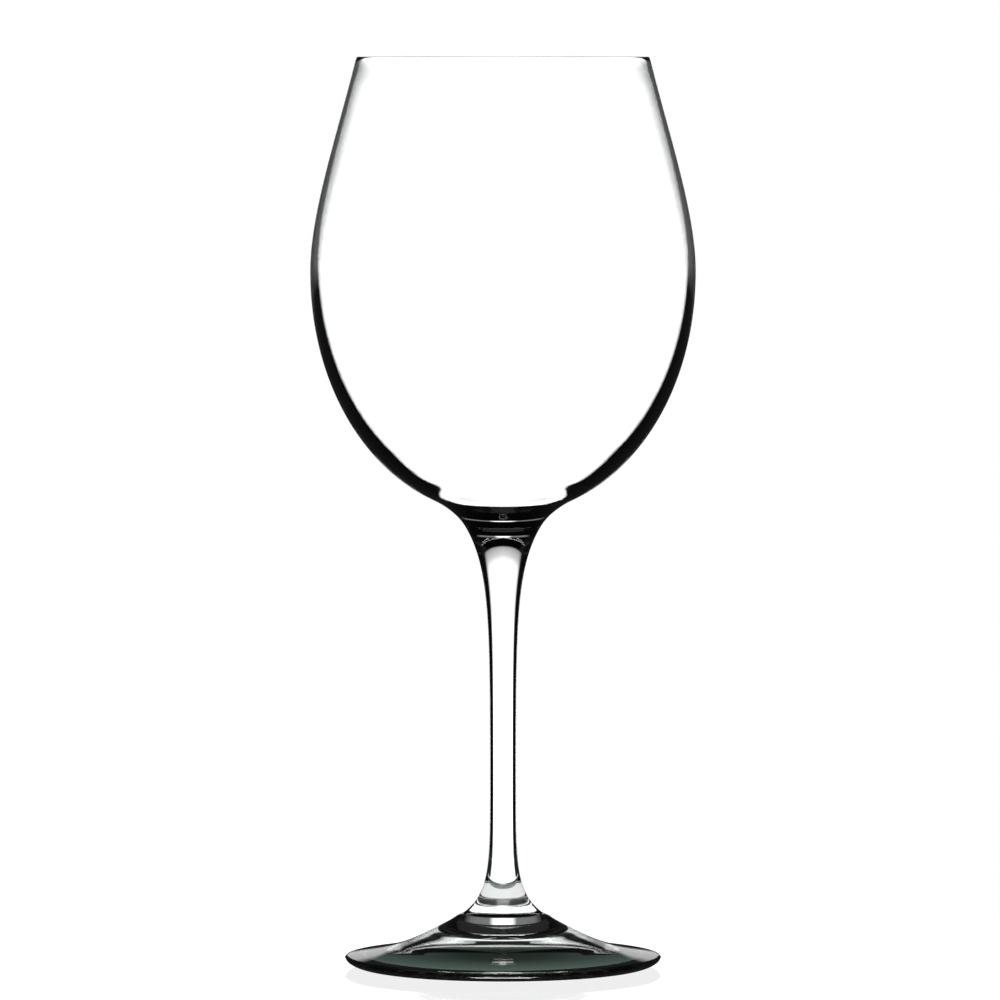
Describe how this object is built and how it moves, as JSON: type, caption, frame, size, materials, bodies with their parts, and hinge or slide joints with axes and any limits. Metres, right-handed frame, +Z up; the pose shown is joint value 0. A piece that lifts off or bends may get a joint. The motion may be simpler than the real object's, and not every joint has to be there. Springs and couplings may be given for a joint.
{
  "type": "wine glass",
  "caption": "Tall stemmed wine glass with a deep egg-shaped bowl, a slim waisted stem and a low conical foot.",
  "frame": {"origin": "centre of the foot's standing ring, on the surface the glass stands on", "axes": "+Z up along the glass's axis of revolution, from the foot to the lip; X and Y are equal, because the glass is turned"},
  "size_m": [0.0992, 0.0992, 0.235],
  "materials": {
    "bowl_glass": "clear polished",
    "stem_glass": "clear polished",
    "foot_glass": "clear polished"
  },
  "bodies": {
    "root": {"bowl": "bowl_glass", "stem": "stem_glass", "foot": "foot_glass"}
  },
  "joints": []
}
